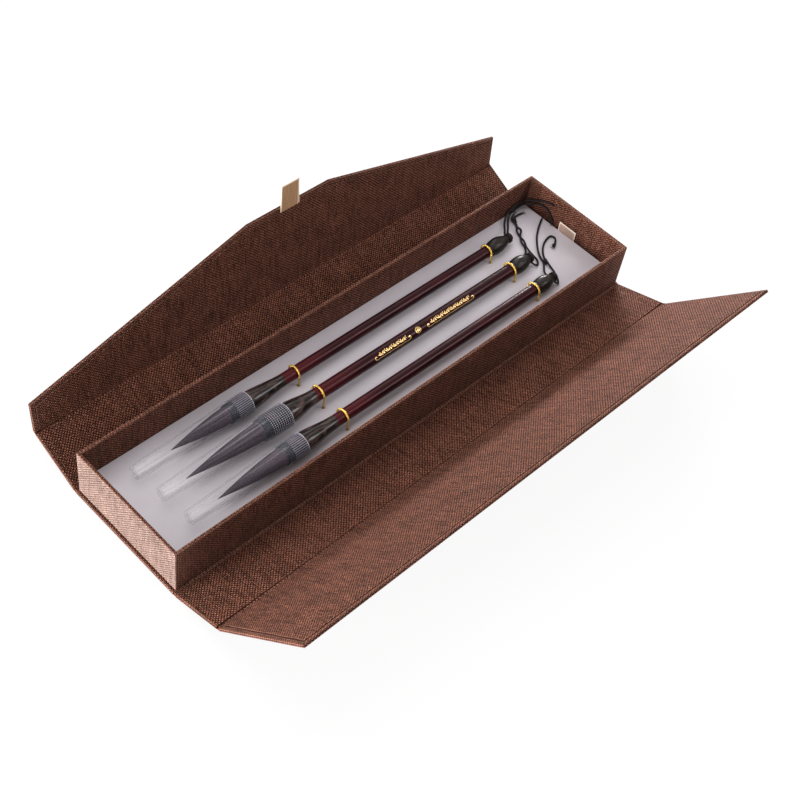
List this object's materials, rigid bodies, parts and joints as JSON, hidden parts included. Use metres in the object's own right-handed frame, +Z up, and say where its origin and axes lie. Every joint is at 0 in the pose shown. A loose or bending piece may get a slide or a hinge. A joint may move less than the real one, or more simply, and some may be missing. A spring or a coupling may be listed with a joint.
{
  "type": "calligraphy set box",
  "caption": "Open cloth-covered gift case with two folding covers and a tray in which elastic loops hold capped calligraphy brushes.",
  "frame": {"origin": "middle of the underside of the base board, on the table", "axes": "+X along the case towards the finials and hanging cords, +Y towards the rear cover with the pull ribbon, +Z up"},
  "size_m": [0.3434, 0.2086, 0.0911],
  "materials": {
    "book_cloth": "board covered with brown linen-look book cloth, matte, visible weave",
    "lining_cloth": "brown book cloth, matte, visible weave",
    "magnet_steel": "nickel plated, hidden under the lining",
    "satin_ribbon": "beige satin ribbon with a soft sheen",
    "foam": "white foam block, hidden under the card",
    "satin_card": "white satin-faced card with cream cut edges",
    "gold_elastic": "gold metallic braided elastic cord",
    "lacquered_wood": "dark red lacquer, glossy",
    "horn": "dark marbled horn, polished",
    "hair": "grey-purple animal hair, combed to a point",
    "black_wood": "black stained wood, satin",
    "clear_plastic": "clear moulded plastic with a ribbed collar",
    "black_cord": "black waxed cotton cord, matte"
  },
  "bodies": {
    "case": {"base_board": "book_cloth", "front_base_hinge": "book_cloth", "rear_base_hinge": "book_cloth", "tray_floor": "book_cloth", "tray_front_wall": "book_cloth", "tray_rear_wall": "book_cloth", "tray_left_wall": "book_cloth", "tray_right_wall": "book_cloth"},
    "front_side": {"front_side_panel": "book_cloth", "front_side_lining": "lining_cloth", "front_lid_hinge": "book_cloth"},
    "front_lid": {"front_lid": "book_cloth", "front_lid_lining": "lining_cloth", "front_lid_plates": "magnet_steel"},
    "rear_side": {"rear_side_panel": "book_cloth", "rear_side_lining": "lining_cloth", "rear_lid_hinge": "book_cloth"},
    "rear_lid": {"rear_lid": "book_cloth", "rear_lid_lining": "lining_cloth", "rear_lid_magnets": "magnet_steel", "pull_ribbon": "satin_ribbon"},
    "insert": {"insert_foam": "foam", "insert_card": "satin_card", "insert_ribbon": "satin_ribbon", "rear_near_loop": "gold_elastic", "rear_far_loop": "gold_elastic", "middle_near_loop": "gold_elastic", "middle_far_loop": "gold_elastic", "front_near_loop": "gold_elastic", "front_far_loop": "gold_elastic"},
    "rear_brush": {"rear_handle": "lacquered_wood", "rear_ferrule": "horn", "rear_tuft": "hair", "rear_finial": "black_wood", "rear_cord_a": "black_cord", "rear_cord_b": "black_cord", "rear_cord_knots": "black_cord"},
    "rear_cap": {"rear_cap": "clear_plastic"},
    "middle_brush": {"middle_handle": "lacquered_wood", "middle_ferrule": "horn", "middle_tuft": "hair", "middle_finial": "black_wood", "middle_cord_a": "black_cord", "middle_cord_b": "black_cord", "middle_cord_knots": "black_cord"},
    "middle_cap": {"middle_cap": "clear_plastic"},
    "front_brush": {"front_handle": "lacquered_wood", "front_ferrule": "horn", "front_tuft": "hair", "front_finial": "black_wood", "front_cord_a": "black_cord", "front_cord_b": "black_cord", "front_cord_knots": "black_cord"},
    "front_cap": {"front_cap": "clear_plastic"}
  },
  "joints": [
    {"name": "front_side_fold", "type": "hinge", "parent": "case", "child": "front_side", "pos_m": [0, -0.04105, 0.00045], "axis": [1, 0, 0], "range_deg": [-72.1, 17.9]},
    {"name": "front_lid_fold", "type": "hinge", "parent": "front_side", "child": "front_lid", "pos_m": [0, -0.07402, 0.0111], "axis": [1, 0, 0], "range_deg": [-61.2, 28.8]},
    {"name": "rear_side_fold", "type": "hinge", "parent": "case", "child": "rear_side", "pos_m": [0, 0.04105, 0.00045], "axis": [-1, 0, 0], "range_deg": [-64.1, 25.9]},
    {"name": "rear_lid_fold", "type": "hinge", "parent": "rear_side", "child": "rear_lid", "pos_m": [0, 0.07438, 0.01663], "axis": [-1, 0, 0], "range_deg": [-30.1, 59.9]},
    {"name": "insert_lift", "type": "slide", "parent": "case", "child": "insert", "axis": [0, 0, 1], "range_m": [0, 0.035]},
    {"name": "rear_brush_lift", "type": "slide", "parent": "insert", "child": "rear_brush", "axis": [0, 0, 1], "range_m": [0, 0.012], "stiffness_N_per_m": 25, "springref_m": -0.004, "deforming": ["rear_near_loop", "rear_far_loop"]},
    {"name": "middle_brush_lift", "type": "slide", "parent": "insert", "child": "middle_brush", "axis": [0, 0, 1], "range_m": [0, 0.012], "stiffness_N_per_m": 25, "springref_m": -0.004, "deforming": ["middle_near_loop", "middle_far_loop"]},
    {"name": "front_brush_lift", "type": "slide", "parent": "insert", "child": "front_brush", "axis": [0, 0, 1], "range_m": [0, 0.012], "stiffness_N_per_m": 25, "springref_m": -0.004, "deforming": ["front_near_loop", "front_far_loop"]},
    {"name": "rear_cap_slide", "type": "slide", "parent": "rear_brush", "child": "rear_cap", "axis": [-1, 0, 0.0076], "range_m": [0, 0.015]},
    {"name": "middle_cap_slide", "type": "slide", "parent": "middle_brush", "child": "middle_cap", "axis": [-0.9999, 0, 0.011], "range_m": [0, 0.015]},
    {"name": "front_cap_slide", "type": "slide", "parent": "front_brush", "child": "front_cap", "axis": [-0.9999, 0, 0.0102], "range_m": [0, 0.015]}
  ]
}
